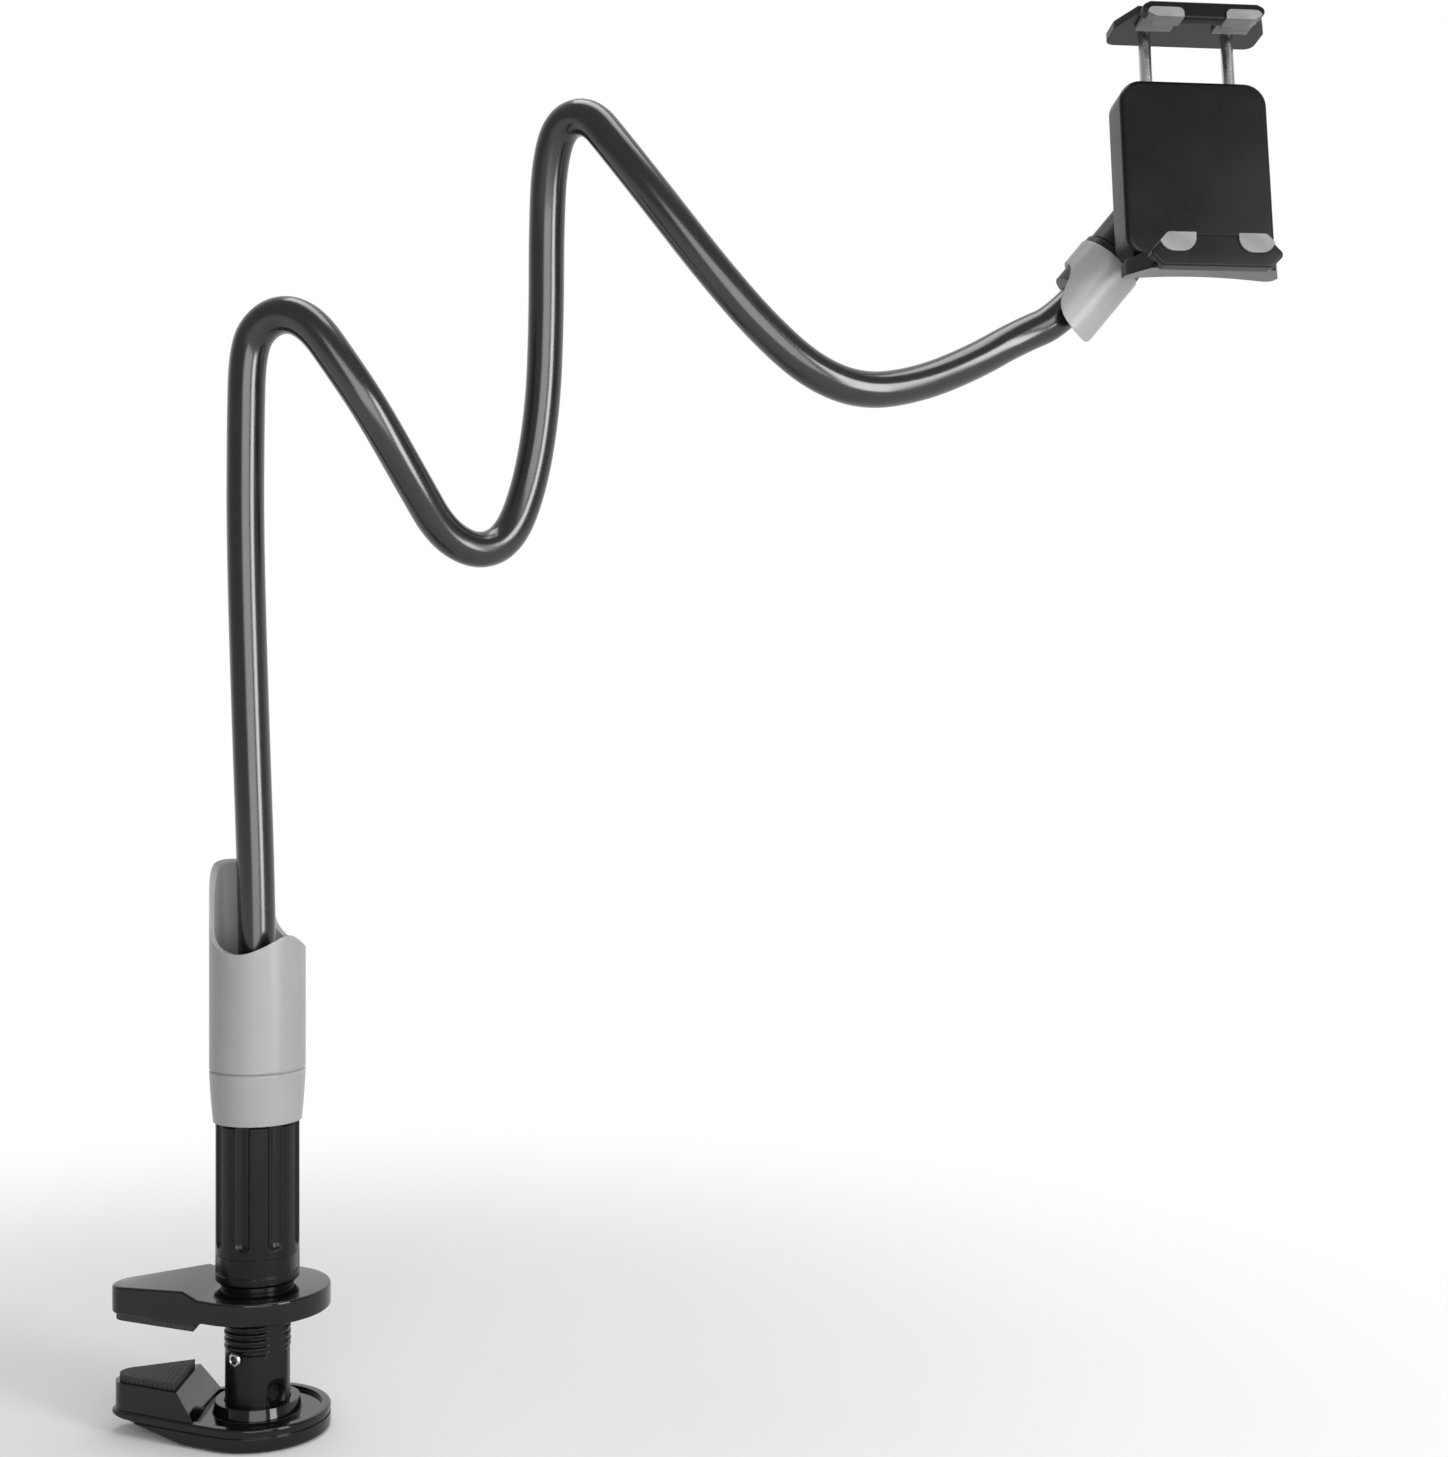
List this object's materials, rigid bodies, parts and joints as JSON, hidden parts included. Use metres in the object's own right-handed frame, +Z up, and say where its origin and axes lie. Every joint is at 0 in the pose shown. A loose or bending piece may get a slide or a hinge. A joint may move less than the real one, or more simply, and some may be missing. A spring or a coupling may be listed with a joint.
{
  "type": "phone gooseneck holder",
  "caption": "Phone holder on a bendable arm: a screw clamp grips a table edge, and a ball joint at the arm's end carries a sprung clip for a phone.",
  "frame": {"origin": "on the clamp post's axis, level with the lower pad's face, where the table's underside lies", "axes": "+Z up along the post, -X out along the clamp's nose over the table, -Y the way the phone faces"},
  "size_m": [0.3482, 0.0632, 0.4249],
  "materials": {
    "jaw_black": "gloss moulded plastic",
    "pad_black": "soft matte rubber",
    "post_black": "moulded thread, satin",
    "stop_steel": "plated steel",
    "washer_black": "slippery moulded plastic",
    "knob_black": "satin moulded plastic",
    "plug_black": "moulded plastic",
    "ring_steel": "spring steel",
    "sleeve_grey": "satin grey plastic",
    "jacket_black": "gloss soft plastic",
    "core_metal": "soft annealed rod",
    "socket_black": "moulded plastic",
    "nut_black": "satin moulded plastic",
    "ball_black": "smooth moulded plastic",
    "clip_black": "satin moulded plastic",
    "cover_black": "fine moulded grain",
    "screw_steel": "blackened steel",
    "clip_pad_grey": "soft grey rubber",
    "rod_steel": "drawn steel",
    "spring_steel": "spring wire"
  },
  "bodies": {
    "clamp_base": {"lower_jaw": "jaw_black", "lower_pad": "pad_black", "clamp_post": "post_black", "stop_screw": "stop_steel"},
    "upper_clamp": {"upper_jaw": "jaw_black", "upper_pad": "pad_black", "thrust_washer": "washer_black"},
    "knob": {"clamp_knob": "knob_black"},
    "arm": {"arm_root_plug": "plug_black", "swivel_ring": "ring_steel", "base_sleeve_ring": "sleeve_grey", "base_sleeve": "sleeve_grey", "arm_core": "core_metal", "arm_jacket": "jacket_black", "head_sleeve": "sleeve_grey", "ball_socket": "socket_black"},
    "nut": {"lock_nut": "nut_black"},
    "stud": {"ball_stud": "ball_black"},
    "clip": {"clip_housing": "clip_black", "clip_back_cover": "cover_black", "cover_screw_1": "screw_steel", "cover_screw_2": "screw_steel", "cover_screw_3": "screw_steel", "cover_screw_4": "screw_steel", "lower_clip_jaw": "clip_black", "lower_clip_pad_left": "clip_pad_grey", "lower_clip_pad_right": "clip_pad_grey", "clip_spring_left": "spring_steel", "clip_spring_right": "spring_steel"},
    "clip_slider": {"upper_clip_jaw": "clip_black", "upper_clip_pad_left": "clip_pad_grey", "upper_clip_pad_right": "clip_pad_grey", "guide_rod_left": "rod_steel", "guide_rod_right": "rod_steel"}
  },
  "joints": [
    {"name": "jaw_slide", "type": "slide", "parent": "clamp_base", "child": "upper_clamp", "axis": [0, 0, 1], "range_m": [-0.0104, 0.018]},
    {"name": "knob_turn", "type": "hinge", "parent": "upper_clamp", "child": "knob", "pos_m": [0, 0, 0.05], "axis": [0, 0, 1], "range_deg": [-1873, 3241]},
    {"name": "arm_swivel", "type": "hinge", "parent": "upper_clamp", "child": "arm", "pos_m": [0, 0, 0.0751], "axis": [0, 0, 1], "continuous": true},
    {"name": "ball_turn", "type": "hinge", "parent": "arm", "child": "nut", "pos_m": [0.27898, 0.031, 0.36057], "axis": [0.6393, 0, 0.7689], "continuous": true},
    {"name": "ball_tilt", "type": "hinge", "parent": "nut", "child": "stud", "pos_m": [0.27898, 0.031, 0.36057], "axis": [0.5885, -0.6436, -0.4893], "range_deg": [-90, 4]},
    {"name": "clip_spin", "type": "hinge", "parent": "stud", "child": "clip", "pos_m": [0.27898, 0.031, 0.36057], "axis": [0.0585, -0.5697, 0.8198], "range_deg": [-10, 240]},
    {"name": "clip_open", "type": "slide", "parent": "clip", "child": "clip_slider", "axis": [-0.0174, 0.1391, 0.9901], "range_m": [-0.0135, 0.018], "stiffness_N_per_m": 250, "deforming": ["clip_spring_left", "clip_spring_right"]}
  ],
  "couplings": [
    {"joint": "knob_turn", "follows": "jaw_slide", "rad_per_m": 3141.6}
  ]
}
